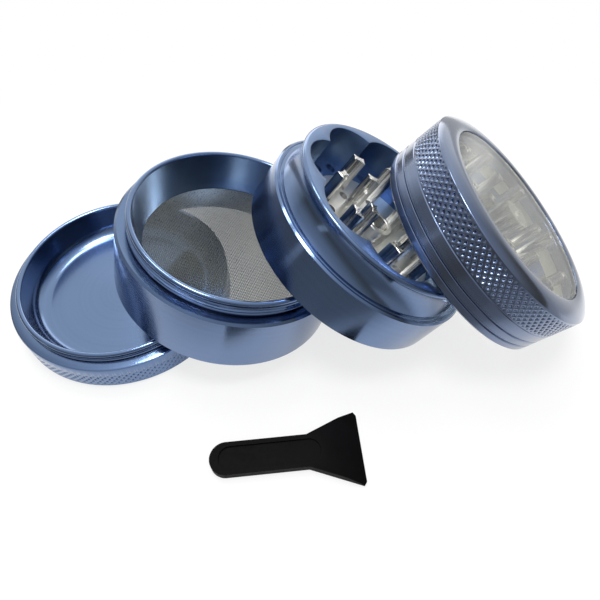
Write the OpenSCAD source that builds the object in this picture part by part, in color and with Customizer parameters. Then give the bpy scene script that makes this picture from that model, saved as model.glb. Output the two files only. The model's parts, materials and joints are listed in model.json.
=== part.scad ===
// Four-section hand grinder with a clear lid, taken apart and fanned out, and its scraper.
// Each section is drawn upright on its own axis, then leant on the rim of the one before it.

/* [Sections] */
// Outside diameter of all four turned sections
grinder_d = 63; // [58:0.5:70]
// Chamfer on the outer edges
edge_break = 0.4; // [0.2:0.1:0.6]
// Chamfer on the shoulder under each spigot
shoulder_break = 0.6; // [0.4:0.1:0.8]
// How far a spigot stands in from the outer wall
spigot_step = 2.7; // [2.4:0.1:3]
// Thickness of a spigot's rolled lip
lip_t = 1.5; // [1.2:0.1:1.8]
// Depth of the undercut between shoulder and thread
undercut = 0.5; // [0.3:0.1:0.8]
// Height of the undercut
undercut_h = 0.8; // [0.6:0.1:1]
// Radial play between a spigot and the recess it screws into
thread_play = 0.35; // [0.25:0.05:0.5]

/* [Catcher] */
// Height of the knurled body up to its shoulder
catcher_h = 8.8; // [7:0.2:11]
// Height of its spigot
catcher_spigot = 2.9; // [2.5:0.1:4]
// Thickness of its floor
catcher_floor = 2; // [1.5:0.1:3]
// Radius of the sweep from floor to wall
catcher_sweep = 4.2; // [3:0.2:5]
// How far the inner wall draws in from lip to sweep
catcher_draft = 0.8; // [0.4:0.1:1.2]

/* [Sieve chamber] */
// Height up to the shoulder
sieve_h = 17.9; // [16:0.2:21]
// Height of its spigot
sieve_spigot = 4.7; // [4:0.1:5.5]
// Height of the screen's upper face
screen_z = 11.8; // [11:0.1:13]
// Radius of the opening over the screen
screen_r = 24.6; // [22:0.1:25]
// Thickness of the woven screen
screen_t = 0.25; // [0.2:0.05:0.4]
// Number of openings across the screen
screen_cells = 12; // [4:1:12]
// Width of the webs between them
screen_web = 1.3; // [0.8:0.1:1.6]
// How far the screen reaches under its ledge
screen_grip = 2; // [1.5:0.1:2.2]
// Depth of the threaded recess under the sieve chamber
sieve_recess = 5; // [4.5:0.1:6]
// Wire radius of the ring that holds the screen
snap_wire_r = 0.6; // [0.5:0.05:0.7]
// Gap in that ring, in degrees
snap_gap = 24; // [15:1:40]

/* [Tooth chamber] */
// Height up to the shoulder
tooth_h = 12.5; // [11.5:0.1:14]
// Height of the smooth neck above the shoulder
neck_h = 8.4; // [7.6:0.1:9]
// How far the neck's cove is cut in below its lip
cove_in = 0.9; // [0.5:0.1:1.2]
// How far the cove flares out again at the shoulder
cove_out = 1.3; // [1:0.1:1.5]
// Height of the chamber floor
floor_z = 9.5; // [9:0.1:10]
// Thickness of the chamber floor
floor_t = 2.6; // [2.2:0.1:3]
// Number of scallops round the wall
lobes = 8; // [6:1:10]
// Radius to the deepest point of a scallop
lobe_r = 26.9; // [26:0.1:27.2]
// Radius to the cusps between scallops
cusp_r = 23.4; // [22.6:0.1:24]
// Direction of the first scallop and the first tooth
tooth_turn = 127; // [90:1:180]

/* [Chamber teeth] */
// Radius of the pressed-in tooth plate
plate_r = 20.6; // [20:0.1:21]
// Width of the ledge under its rim
plate_ledge = 1; // [0.8:0.1:1.4]
// Thickness of its rim
plate_rim = 1.6; // [1.4:0.1:1.8]
// Height of the tooth tips
tooth_top_z = 20; // [18:0.1:20.4]
// Radius of the outer ring of teeth
outer_ring_r = 16.4; // [16:0.1:16.6]
// Number of teeth in it
outer_teeth = 8; // [6:1:9]
// Radius of the inner ring of teeth
inner_ring_r = 9.4; // [9.2:0.1:9.5]
// Number of teeth in it
inner_teeth = 4; // [3:1:5]
// Length of a tooth along the radius
tooth_l = 3.9; // [3.4:0.1:4]
// Width of a tooth across the radius
tooth_w = 4.6; // [4:0.1:5]
// How far a tooth's long corners are swept round
tooth_sweep = 0.7; // [0:0.1:1]
// Radius of the flutes that hollow its four sides
flute_r = 3.2; // [2.8:0.1:5]
// Diameter of the holes in the scallops
wall_hole_d = 3; // [2:0.1:3.2]
// Radius of the ring they lie on
wall_hole_ring = 23.4; // [23:0.1:23.6]
// Angle between the two holes of one scallop
wall_hole_pair = 15; // [12:0.5:16]
// Diameter of the holes between the teeth
plate_hole_d = 2.8; // [2:0.1:3]
// Radius of the ring they lie on
plate_hole_ring = 12.9; // [12.8:0.05:13]
// Radius of the centre post
post_r = 4.4; // [4:0.1:4.6]
// Height of the centre post's top
post_top_z = 13.6; // [13:0.1:13.8]
// Radius of the two centre magnets
magnet_r = 3; // [2.5:0.1:3.4]
// Thickness of the magnets
magnet_t = 2; // [1.5:0.1:2.5]

/* [Lid] */
// Height of the lid up to its dome
lid_h = 15.4; // [15:0.1:16]
// Rise of the domed bezel
dome_rise = 1.5; // [1.2:0.1:1.8]
// Width of the domed bezel
dome_w = 4.5; // [4:0.1:5]
// Height where the knurl starts
knurl_z = 8.3; // [7.5:0.1:9]
// Heights of the two grooves in the skirt
grooves = [2.3, 4.7];
// Width of those grooves
groove_w = 0.7; // [0.4:0.1:0.9]
// Depth of those grooves
groove_d = 0.35; // [0.2:0.05:0.5]
// Wall of the skirt at its mouth
skirt_wall = 2.2; // [2:0.05:2.25]
// Height of the ledge that ends the skirt
ledge_z = 9.4; // [9.2:0.1:9.8]
// Radius of the visible window
window_r = 25.5; // [24:0.1:25.8]
// How far the window reaches under the bezel
window_grip = 1.1; // [0.8:0.1:1.2]
// Thickness of the window
window_t = 3; // [2.5:0.1:3.2]
// Thickness of the bezel's lip over the window
bezel_lip = 0.8; // [0.6:0.1:1]
// Radius of the lid's outer ring of teeth
lid_outer_r = 20.9; // [20.8:0.05:21]
// Radius of the lid's inner ring of teeth
lid_inner_r = 12.9; // [12.8:0.05:13]
// Length of an inner lid tooth along the radius
lid_inner_l = 2.4; // [2:0.1:2.6]
// Height of the lid teeth's tips above the rim
lid_tip_z = 1.4; // [1.2:0.1:3]
// Radius of the pins that root the lid's teeth in the window
root_r = 0.8; // [0.6:0.05:0.9]
// Length of those pins
root_l = 1.5; // [1:0.1:1.8]
// Radius of the lid's centre post
lid_post_r = 4.2; // [4:0.1:4.6]
// Direction of the lid's first tooth
lid_turn = 12; // [0:1:44]

/* [Friction ring] */
// Height of the ring's sleeve
ring_h = 3.8; // [3:0.1:4]
// Wall of the ring's sleeve
ring_wall = 1.2; // [1:0.05:1.25]
// Running clearance round it in the lid's groove
ring_play = 0.1; // [0.05:0.01:0.1]

/* [Layout] */
// Sideways step from the catcher to the sieve chamber
sieve_step = 31.5; // [30:0.5:33]
// Sideways step from the sieve chamber to the tooth chamber
tooth_step = 35.6; // [34.5:0.5:37]
// Sideways step from the tooth chamber to the lid
lid_step = 32.3; // [31:0.5:33.5]
// How far behind the catcher's centre the sieve chamber, tooth chamber and lid stand
set_back = [0.4, 1.4, 0.8];
// Direction in which each of them leans
headings = [13.8, 7, 1.2];
// Clearance left where one section rests on the next
rest_gap = 0.3; // [0.2:0.05:0.4]

/* [Scraper] */
// Overall length
scraper_l = 38.1; // [34:0.5:42]
// Width of the handle
handle_w = 8.2; // [7:0.1:8.6]
// Length of the handle up to the flare
handle_l = 24.5; // [23.5:0.5:26]
// Width across the blade
blade_w = 18.8; // [16:0.2:22]
// Thickness
scraper_t = 2.6; // [2:0.1:3.2]
// Thickness of the blade's edge
blade_edge = 0.5; // [0.4:0.1:0.8]
// Length of the bevel behind the edge
bevel_l = 5; // [4:0.5:6]
// Width of the recessed panel
panel_w = 5.8; // [5:0.1:6]
// Length of the recessed panel
panel_l = 25.6; // [22:0.2:26]
// Distance of the panel from the handle's end
panel_from = 2.2; // [1.8:0.1:3]
// Depth of the recessed panel
panel_d = 0.5; // [0.3:0.1:0.8]
// Place of the handle's end along the fan
scraper_x = 30.6; // [20:0.5:40]
// Distance of the scraper in front of the sections
scraper_front = 21.3; // [19:0.5:30]
// Turn of the scraper on the table
scraper_turn = 5.5; // [0:0.5:10]

/* [Hidden] */

$fn = 96;
eps = 0.01;
// Clearance between pieces that are pressed together
seat = 0.02;

section_r = grinder_d / 2;
spigot_r = section_r - spigot_step;
bore_r = spigot_r - lip_t;
recess_r = spigot_r + thread_play;
catcher_top = catcher_h + catcher_spigot;
sieve_top = sieve_h + sieve_spigot;
tooth_top = tooth_h + neck_h;
floor_bottom = floor_z - floor_t;
// Height in the closed lid of the tooth chamber's foot
closed_shift = -tooth_h;

screen_bore_r = screen_r + screen_grip + 0.2;
neck_r = spigot_r - cove_in;
cove_z = tooth_top - neck_h * 0.46;
cove_rise = cove_z - tooth_h;
cove_r = (cove_rise ^ 2 + cove_out ^ 2) / (2 * cove_out);

skirt_r = section_r - skirt_wall;
ring_out_r = skirt_r + 0.5;
ring_in_r = ring_out_r - ring_wall;
window_top = lid_h + dome_rise - bezel_lip;
window_low = window_top - window_t;
window_seat_r = window_r + window_grip;
dome_r = (dome_w ^ 2 + dome_rise ^ 2) / (2 * dome_rise);

// The closed magnets stop a seat gap short of each other
lid_post_tip = post_top_z + closed_shift + 0.3;

// ---------- Leaning one section on the next ----------

// Directions along, across and up the axis of a section that leans by t towards a
function lean_x(t, a) = [cos(t) * cos(a), cos(t) * sin(a), -sin(t)];
function lean_y(a) = [-sin(a), cos(a), 0];
function lean_z(t, a) = [sin(t) * cos(a), sin(t) * sin(a), cos(t)];

// Centre of the foot of a section whose edge stands on the table
function foot(p, t) = [p.x, p.y, section_r * sin(t)];

// A place is [x and y of the foot's centre, lean, heading]; this is a point on a rim of the section there
function rim_point(place, r, h, k) = foot(place[0], place[1])
    + r * cos(k) * lean_x(place[1], place[2]) + r * sin(k) * lean_y(place[2]) + h * lean_z(place[1], place[2]);

// Radius and height of a point measured from the foot of the section at a place
function to_section(p, place) = let (v = p - foot(place[0], place[1]), z = v * lean_z(place[1], place[2]))
    [norm(v - z * lean_z(place[1], place[2])), z];

// Distance of a point at radius and height q from a wall between two radii, less than 0 inside it
function wall_gap(q, r0, r1, h) = let (a = max(r0 - q.x, q.x - r1), b = max(-q.y, q.y - h))
    max(a, b) < 0 ? max(a, b) : norm([max(a, 0), max(b, 0)]);

// A section's rims are [[radius, height, edge radius], ...]; its foot is [inner radius, wall height]
function clearance(lower, rims, upper, foot_wall) = min([for (rim = rims) for (k = [0 : 2 : 358])
    wall_gap(to_section(rim_point(lower, rim[0], rim[1], k), upper), foot_wall[0], section_r, foot_wall[1]) - rim[2]]);

// The lean at which a section's foot clears the rim below it by the rest gap, found by halving
function lean(lower, rims, p, heading, foot_wall, low = 4, high = 70, n = 24) = n == 0 ? high :
    let (mid = (low + high) / 2)
    clearance(lower, rims, [p, mid, heading], foot_wall) < rest_gap
        ? lean(lower, rims, p, heading, foot_wall, mid, high, n - 1)
        : lean(lower, rims, p, heading, foot_wall, low, mid, n - 1);

function spigot_rims(shoulder, top) = [
    [section_r - shoulder_break / 2, shoulder - shoulder_break / 2, 0],
    [spigot_r - lip_t / 2, top - lip_t / 2, lip_t / 2]];

catcher_place = [[0, 0], 0, 0];
sieve_foot = [sieve_step, set_back[0]];
sieve_lean = lean(catcher_place, spigot_rims(catcher_h, catcher_top), sieve_foot, headings[0],
    [recess_r, sieve_recess]);
sieve_place = [sieve_foot, sieve_lean, headings[0]];
tooth_foot = [sieve_step + tooth_step, set_back[1]];
tooth_lean = lean(sieve_place, spigot_rims(sieve_h, sieve_top), tooth_foot, headings[1],
    [recess_r, floor_bottom]);
tooth_place = [tooth_foot, tooth_lean, headings[1]];
lid_foot = [sieve_step + tooth_step + lid_step, set_back[2]];
lid_lean = lean(tooth_place, spigot_rims(tooth_h, tooth_top), lid_foot, headings[2], [skirt_r, ledge_z]);
lid_place = [lid_foot, lid_lean, headings[2]];

module put(place) {
    translate(foot(place[0], place[1]))
        rotate([0, place[1], place[2]])
            rotate([0, 0, -place[2]])
                children();
}

// ---------- Turned profiles, radius along X and height along Y ----------

// Solid half-section of a body with a chamfered foot and shoulder
module body_profile(h) {
    polygon([[0, 0], [section_r - edge_break, 0], [section_r, edge_break], [section_r, h - shoulder_break],
        [section_r - shoulder_break, h], [0, h]]);
}

// Spigot with an undercut at its root and a rolled lip
module spigot_profile(shoulder, top) {
    difference() {
        translate([0, shoulder - eps])
            square([spigot_r, top - shoulder - lip_t / 2 + eps]);
        translate([spigot_r - undercut, shoulder])
            square([undercut + eps, undercut_h]);
    }
    translate([0, top - lip_t])
        square([spigot_r - lip_t / 2, lip_t]);
    translate([spigot_r - lip_t / 2, top - lip_t / 2])
        circle(r = lip_t / 2);
}

// Rounds the inner top edge of a bore that opens at a rolled lip
module lip_mouth(top) {
    difference() {
        translate([0, top - lip_t / 2])
            square([spigot_r - lip_t / 2, lip_t]);
        translate([spigot_r - lip_t / 2, top - lip_t / 2])
            circle(r = lip_t / 2);
    }
}

// ---------- Catcher ----------

module catcher_bowl() {
    sweep_r = bore_r - catcher_draft;
    color("steelblue")
        rotate_extrude()
            difference() {
                union() {
                    body_profile(catcher_h);
                    spigot_profile(catcher_h, catcher_top);
                }
                lip_mouth(catcher_top);
                polygon([[0, catcher_floor + catcher_sweep], [sweep_r, catcher_floor + catcher_sweep],
                    [bore_r, catcher_top - lip_t / 2 + eps], [0, catcher_top - lip_t / 2 + eps]]);
                translate([0, catcher_floor])
                    square([sweep_r - catcher_sweep, catcher_sweep + eps]);
                intersection() {
                    translate([sweep_r - catcher_sweep, catcher_floor + catcher_sweep])
                        circle(r = catcher_sweep);
                    translate([sweep_r - catcher_sweep - eps, catcher_floor])
                        square([catcher_sweep + eps, catcher_sweep + eps]);
                }
            }
}

// ---------- Sieve chamber ----------

module sieve_chamber() {
    color("steelblue")
        put(sieve_place)
            rotate_extrude()
                difference() {
                    union() {
                        body_profile(sieve_h);
                        spigot_profile(sieve_h, sieve_top);
                    }
                    lip_mouth(sieve_top);
                    polygon([[0, screen_z - eps], [screen_r, screen_z - eps], [bore_r, sieve_top - lip_t / 2 + eps],
                        [0, sieve_top - lip_t / 2 + eps]]);
                    translate([0, sieve_recess - eps])
                        square([screen_bore_r, screen_z - sieve_recess + eps]);
                    translate([0, -eps])
                        square([recess_r, sieve_recess + eps]);
                    translate([snap_ring_r(), snap_z()])
                        circle(r = snap_wire_r + seat);
                }
}

// The wire ring sits half in a groove and presses the screen up against its ledge
function snap_ring_r() = screen_bore_r - snap_wire_r / 2;
function snap_z() = screen_z - screen_t - snap_wire_r - 2 * seat;

// A coarse square grid; an opening that would reach the rim is left closed
module sieve_screen() {
    pitch = 2 * screen_r / screen_cells;
    cell = pitch - screen_web;
    color("gainsboro")
        put(sieve_place)
            translate([0, 0, screen_z - screen_t - seat])
                linear_extrude(screen_t)
                    difference() {
                        circle(r = screen_r + screen_grip);
                        for (i = [0 : screen_cells - 1]) for (j = [0 : screen_cells - 1])
                            let (at = pitch * [i - (screen_cells - 1) / 2, j - (screen_cells - 1) / 2])
                                if (norm([abs(at.x) + cell / 2, abs(at.y) + cell / 2]) < screen_r)
                                    translate(at)
                                        square(cell, center = true);
                    }
}

module screen_snap_ring() {
    color("silver")
        put(sieve_place)
            translate([0, 0, snap_z()])
                rotate([0, 0, snap_gap / 2])
                    rotate_extrude(angle = 360 - snap_gap)
                        translate([snap_ring_r(), 0])
                            circle(r = snap_wire_r);
}

// ---------- Tooth chamber ----------

// Outline of the scalloped chamber: a round core with a ring of overlapping arcs
module scallops() {
    arc_at = (lobe_r ^ 2 - cusp_r ^ 2) / (2 * (lobe_r - cusp_r * cos(180 / lobes)));
    circle(r = cusp_r * cos(180 / lobes));
    for (i = [0 : lobes - 1])
        rotate(tooth_turn + i * 360 / lobes)
            translate([arc_at, 0])
                circle(r = lobe_r - arc_at);
}

// Smooth neck: a wide cove between the shoulder and a rolled lip
module neck_profile() {
    difference() {
        translate([0, tooth_h - eps])
            square([spigot_r + 1, neck_h - lip_t / 2 + eps]);
        translate([neck_r + cove_r, cove_z])
            circle(r = cove_r, $fn = 180);
        translate([spigot_r, cove_z])
            square([spigot_step, neck_h]);
    }
    translate([0, tooth_top - lip_t])
        square([spigot_r - lip_t / 2, lip_t]);
    translate([spigot_r - lip_t / 2, tooth_top - lip_t / 2])
        circle(r = lip_t / 2);
}

module tooth_chamber() {
    color("steelblue")
        put(tooth_place)
            difference() {
                rotate_extrude()
                    difference() {
                        union() {
                            body_profile(tooth_h);
                            neck_profile();
                        }
                        translate([0, -eps])
                            square([recess_r, floor_bottom + eps]);
                        translate([0, floor_bottom - eps])
                            square([plate_r - plate_ledge, floor_t + eps]);
                        translate([0, floor_z - plate_rim])
                            square([plate_r, plate_rim + eps]);
                    }
                translate([0, 0, floor_z])
                    linear_extrude(tooth_top - floor_z + 1)
                        scallops();
                for (i = [0 : lobes - 1]) for (side = [-0.5, 0.5])
                    rotate([0, 0, tooth_turn + i * 360 / lobes + side * wall_hole_pair])
                        translate([wall_hole_ring, 0, floor_bottom - 1])
                            cylinder(d = wall_hole_d, h = floor_t + 2, $fn = 32);
            }
}

// ---------- Teeth ----------

// A side of a tooth is hollowed by a flute whose arc starts and ends on the side's corners
module flute(a, b) {
    half = norm(b - a) / 2;
    out = [b.y - a.y, a.x - b.x] / (2 * half);
    translate((a + b) / 2 + out * sqrt(flute_r ^ 2 - half ^ 2))
        circle(r = flute_r, $fn = 64);
}

// Four-cornered tooth with hollow sides, its length along the radius and its long corners swept round
module tooth_outline(l, w) {
    corners = [[-l / 2, -tooth_sweep], [0, -w / 2], [l / 2, tooth_sweep], [0, w / 2]];
    difference() {
        polygon(corners);
        for (i = [0 : 3])
            flute(corners[i], corners[(i + 1) % 4]);
    }
}

module tooth_ring(count, r, turn) {
    for (i = [0 : count - 1])
        rotate([0, 0, turn + i * 360 / count])
            translate([r, 0, 0])
                children();
}

module tooth_plate() {
    color("silver")
        put(tooth_place)
            difference() {
                union() {
                    translate([0, 0, floor_bottom])
                        cylinder(r = plate_r - plate_ledge - seat, h = floor_t);
                    translate([0, 0, floor_z - plate_rim + seat])
                        cylinder(r = plate_r - seat, h = plate_rim - seat);
                    translate([0, 0, floor_z - 1])
                        cylinder(r = post_r, h = post_top_z - floor_z + 1);
                    tooth_ring(outer_teeth, outer_ring_r, tooth_turn)
                        translate([0, 0, floor_z - 1])
                            linear_extrude(tooth_top_z - floor_z + 1)
                                tooth_outline(tooth_l, tooth_w);
                    tooth_ring(inner_teeth, inner_ring_r, tooth_turn)
                        translate([0, 0, floor_z - 1])
                            linear_extrude(tooth_top_z - floor_z + 1)
                                tooth_outline(tooth_l, tooth_w);
                }
                tooth_ring(outer_teeth, plate_hole_ring, tooth_turn)
                    translate([0, 0, floor_bottom - 1])
                        cylinder(d = plate_hole_d, h = floor_t + 2, $fn = 32);
                translate([0, 0, post_top_z - magnet_t])
                    cylinder(r = magnet_r, h = magnet_t + 1);
            }
}

module chamber_magnet() {
    color("gray")
        put(tooth_place)
            translate([0, 0, post_top_z - magnet_t + seat])
                cylinder(r = magnet_r - seat, h = magnet_t - seat);
}

// ---------- Lid ----------

// Solid half-section of the lid: grooved skirt, straight knurled band and domed bezel
module lid_outer_profile() {
    difference() {
        union() {
            polygon([[0, 0], [section_r - edge_break, 0], [section_r, edge_break], [section_r, lid_h], [0, lid_h]]);
            intersection() {
                translate([section_r - dome_w, lid_h + dome_rise - dome_r])
                    circle(r = dome_r, $fn = 180);
                translate([section_r - dome_w, lid_h - eps])
                    square([dome_w, dome_rise + 1]);
            }
            translate([0, lid_h - eps])
                square([section_r - dome_w + eps, dome_rise + eps]);
        }
        for (z = grooves)
            translate([section_r, z])
                polygon([[-groove_d, -groove_w / 4], [eps, -groove_w / 2], [eps, groove_w / 2],
                    [-groove_d, groove_w / 4]]);
        // A finer line marks where the knurl starts
        translate([section_r, knurl_z - groove_w / 4])
            polygon([[-groove_d / 2, 0], [eps, -groove_w / 4], [eps, groove_w / 4]]);
    }
}

module lid_ring() {
    color("steelblue")
        put(lid_place)
            rotate_extrude()
                difference() {
                    lid_outer_profile();
                    translate([0, -eps])
                        square([skirt_r, ledge_z + eps]);
                    translate([0, ledge_z - ring_h - 2 * ring_play])
                        square([ring_out_r + ring_play, ring_h + 2 * ring_play]);
                    translate([0, ledge_z - eps])
                        square([window_seat_r, window_top - ledge_z + eps]);
                    square([window_r, lid_h + dome_rise + 1]);
                }
}

// Clear disc with a blind hole over each tooth and each post
module lid_window() {
    color("lightcyan", 0.4)
        put(lid_place)
            difference() {
                union() {
                    translate([0, 0, window_low])
                        cylinder(r = window_seat_r - seat, h = window_t - seat);
                    translate([0, 0, window_low])
                        cylinder(r = window_r - seat, h = window_t + bezel_lip - 0.3);
                }
                lid_roots(seat);
            }
}

module lid_root(grow) {
    translate([0, 0, window_low - 1])
        cylinder(r = root_r + grow, h = root_l + 1 + grow, $fn = 24);
}

module lid_roots(grow) {
    tooth_ring(outer_teeth, lid_outer_r, lid_turn)
        lid_root(grow);
    tooth_ring(inner_teeth, lid_inner_r, lid_turn)
        lid_root(grow);
    lid_root(grow);
}

module lid_tooth(l) {
    translate([0, 0, lid_tip_z])
        linear_extrude(window_low - seat - lid_tip_z)
            tooth_outline(l, tooth_w);
    lid_root(0);
}

module lid_outer_teeth() {
    color("silver")
        put(lid_place)
            tooth_ring(outer_teeth, lid_outer_r, lid_turn)
                lid_tooth(tooth_l);
}

module lid_inner_teeth() {
    color("silver")
        put(lid_place)
            tooth_ring(inner_teeth, lid_inner_r, lid_turn)
                lid_tooth(lid_inner_l);
}

module lid_post() {
    color("silver")
        put(lid_place)
            difference() {
                union() {
                    translate([0, 0, lid_post_tip])
                        cylinder(r = lid_post_r, h = window_low - seat - lid_post_tip);
                    lid_root(0);
                }
                translate([0, 0, lid_post_tip - 1])
                    cylinder(r = magnet_r, h = magnet_t + 1);
            }
}

module lid_magnet() {
    color("gray")
        put(lid_place)
            translate([0, 0, lid_post_tip])
                cylinder(r = magnet_r - seat, h = magnet_t - seat);
}

// Low-friction sleeve that runs in a groove under the lid's ledge
module friction_ring() {
    color("ivory")
        put(lid_place)
            translate([0, 0, ledge_z - ring_play - ring_h])
                difference() {
                    cylinder(r = ring_out_r, h = ring_h);
                    translate([0, 0, -1])
                        cylinder(r = ring_in_r, h = ring_h + 2);
                }
}

// ---------- Scraper ----------

module scraper_outline() {
    translate([handle_w / 2, 0])
        circle(r = handle_w / 2);
    translate([handle_w / 2, -handle_w / 2])
        square([handle_l - handle_w / 2, handle_w]);
    polygon([[handle_l - eps, -handle_w / 2], [handle_l, -handle_w / 2],
        [scraper_l - 0.7, -blade_w / 2], [scraper_l, -blade_w / 2 + 0.9],
        [scraper_l, blade_w / 2 - 0.9], [scraper_l - 0.7, blade_w / 2],
        [handle_l, handle_w / 2], [handle_l - eps, handle_w / 2]]);
}

module panel_outline() {
    for (x = [panel_from + panel_w / 2, panel_from + panel_l - panel_w / 2])
        translate([x, 0])
            circle(r = panel_w / 2);
    translate([panel_from + panel_w / 2, -panel_w / 2])
        square([panel_l - panel_w, panel_w]);
}

module scraper() {
    color("dimgray")
        translate([scraper_x, -section_r - scraper_front, 0])
            rotate([0, 0, scraper_turn])
                difference() {
                    intersection() {
                        linear_extrude(scraper_t)
                            scraper_outline();
                        translate([0, blade_w, 0])
                            rotate([90, 0, 0])
                                linear_extrude(2 * blade_w)
                                    polygon([[-1, 0], [scraper_l + 1, 0], [scraper_l + 1, blade_edge],
                                        [scraper_l, blade_edge], [scraper_l - bevel_l, scraper_t], [-1, scraper_t]]);
                    }
                    translate([0, 0, scraper_t - panel_d])
                        linear_extrude(panel_d + 1)
                            panel_outline();
                }
}

catcher_bowl();
sieve_chamber();
sieve_screen();
screen_snap_ring();
tooth_chamber();
tooth_plate();
chamber_magnet();
friction_ring();
lid_ring();
lid_window();
lid_outer_teeth();
lid_inner_teeth();
lid_post();
lid_magnet();
scraper();
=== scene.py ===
"""Hand grinder in four sections, fanned out on a table beside its scraper."""

import json
import math

import bmesh
import bpy
import numpy as np
from bpy.props import FloatProperty, FloatVectorProperty, IntProperty, PointerProperty
from mathutils import Matrix, Vector
from mathutils.geometry import tessellate_polygon


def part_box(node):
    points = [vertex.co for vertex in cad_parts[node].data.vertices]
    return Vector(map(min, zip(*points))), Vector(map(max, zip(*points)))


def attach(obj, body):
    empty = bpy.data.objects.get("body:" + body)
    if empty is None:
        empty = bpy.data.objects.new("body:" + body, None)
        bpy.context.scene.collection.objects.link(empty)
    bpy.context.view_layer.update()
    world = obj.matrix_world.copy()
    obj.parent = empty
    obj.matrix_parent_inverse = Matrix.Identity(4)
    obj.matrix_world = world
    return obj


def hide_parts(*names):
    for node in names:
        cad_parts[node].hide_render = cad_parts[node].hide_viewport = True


bl_info = {
    "name": "Four-Section Hand Grinder",
    "version": (1, 0, 0),
    "blender": (4, 5, 0),
    "location": "3D View > Sidebar > Grinder",
    "description": "Turned and knurled grinder sections, woven screen, teeth, clear lid and scraper",
    "category": "Add Mesh",
}

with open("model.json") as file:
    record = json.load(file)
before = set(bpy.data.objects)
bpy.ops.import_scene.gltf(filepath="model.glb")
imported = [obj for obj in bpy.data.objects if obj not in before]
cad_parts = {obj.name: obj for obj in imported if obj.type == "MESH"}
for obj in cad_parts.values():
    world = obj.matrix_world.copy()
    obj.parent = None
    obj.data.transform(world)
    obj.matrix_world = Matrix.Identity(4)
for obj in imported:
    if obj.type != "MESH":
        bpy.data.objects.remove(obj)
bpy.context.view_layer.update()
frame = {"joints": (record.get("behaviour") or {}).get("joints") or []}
MM, WELD = 0.001, 2e-6
AXIS = {joint["child"]: np.array(joint["axis"], float) for joint in frame["joints"]}
LOWEST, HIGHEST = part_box("catcher_bowl")
OUTER_R = (HIGHEST.x - LOWEST.x) / 2

# Places that two pieces share, upright on a section's own axis
SCREEN_TOP, SNAP_X, SNAP_Z = 11.8 * MM, 26.5 * MM, 10.91 * MM
PLATE_TOP, PLATE_FOOT, PLATE_RIM, PLATE_LEDGE = 9.5 * MM, 6.9 * MM, 20.6 * MM, 19.6 * MM
LOBES, LOBE_R, CUSP_R, LOBE_TURN = 8, 26.9 * MM, 23.4 * MM, 127.0
LID_TEETH, LID_TURN, LID_SEAT = ((8, 20.9 * MM), (4, 12.9 * MM)), 12.0, 13.08 * MM
MAGNET_R, TOOTH_WIDE = 2.98 * MM, 4.6 * MM


# ---------- Sizes and colours ----------

def length(label, about, mm):
    """A length property whose default is given in millimetres."""
    return FloatProperty(name=label, description=about, default=mm * MM, min=0.0, precision=5,
                         unit="LENGTH", subtype="DISTANCE")


def place(label, x, y):
    """A property for where a section's foot stands on the table."""
    return FloatVectorProperty(name=label, description="Foot centre on the table", size=2, default=(x, y),
                               unit="LENGTH", subtype="XYZ_LENGTH")


def colour(label, about, rgb):
    """A colour property."""
    return FloatVectorProperty(name=label, description=about, default=rgb, size=3, min=0.0, max=1.0,
                               subtype="COLOR")


class GrinderSizes(bpy.types.PropertyGroup):
    """Lengths, counts and places that shape the sections"""

    outer_r: FloatProperty(name="Outer radius", description="Outer radius of every section",
                           default=OUTER_R, unit="LENGTH", subtype="DISTANCE", precision=5)
    spigot_r: length("Spigot radius", "Outer radius of the threaded spigots", 28.8)
    lip: length("Lip", "Thickness of the rolled lips", 1.5)
    recess_r: length("Recess radius", "Radius of the threaded recesses", 29.15)
    knurl_depth: length("Knurl depth", "Depth of the diamond knurl", 0.42)
    knurl_count: IntProperty(name="Knurl count", description="Pits round a knurled band", default=104)
    thread_pitch: length("Thread pitch", "Pitch of the screw threads", 1.2)
    thread_depth: length("Thread depth", "Depth of the screw threads", 0.5)
    wire_pitch: length("Wire pitch", "Distance between the wires of the screen", 0.5)
    wire_r: length("Wire radius", "Radius of a screen wire", 0.135)
    edge: length("Edge break", "Bevel on the teeth's edges", 0.12)
    sieve_foot: place("Sieve chamber place", 0.0315, 0.0004)
    tooth_foot: place("Tooth chamber place", 0.0671, 0.0014)
    lid_foot: place("Lid place", 0.0994, 0.0008)


class GrinderColours(bpy.types.PropertyGroup):
    """Base colours of the finishes"""

    anodised: colour("Anodised", "Blue anodised aluminium", (0.130, 0.205, 0.370))
    bare: colour("Bare", "Bare machined aluminium", (0.68, 0.68, 0.665))
    wire: colour("Wire", "Stainless wire", (0.34, 0.355, 0.33))
    nickel: colour("Nickel", "Nickel plated magnets", (0.62, 0.61, 0.58))
    nylon: colour("Nylon", "Friction ring", (0.86, 0.84, 0.72))
    plastic: colour("Plastic", "Moulded scraper", (0.004, 0.004, 0.0045))
    clear: colour("Clear", "Acrylic window", (0.95, 0.96, 0.87))
    floor: colour("Floor", "Table top", (0.90, 0.90, 0.90))


def sizes():
    """The sizes set in the panel."""
    return bpy.context.scene.grinder_sizes


def colours():
    """The colours set in the panel."""
    return bpy.context.scene.grinder_colours


# ---------- Meshes ----------

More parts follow.
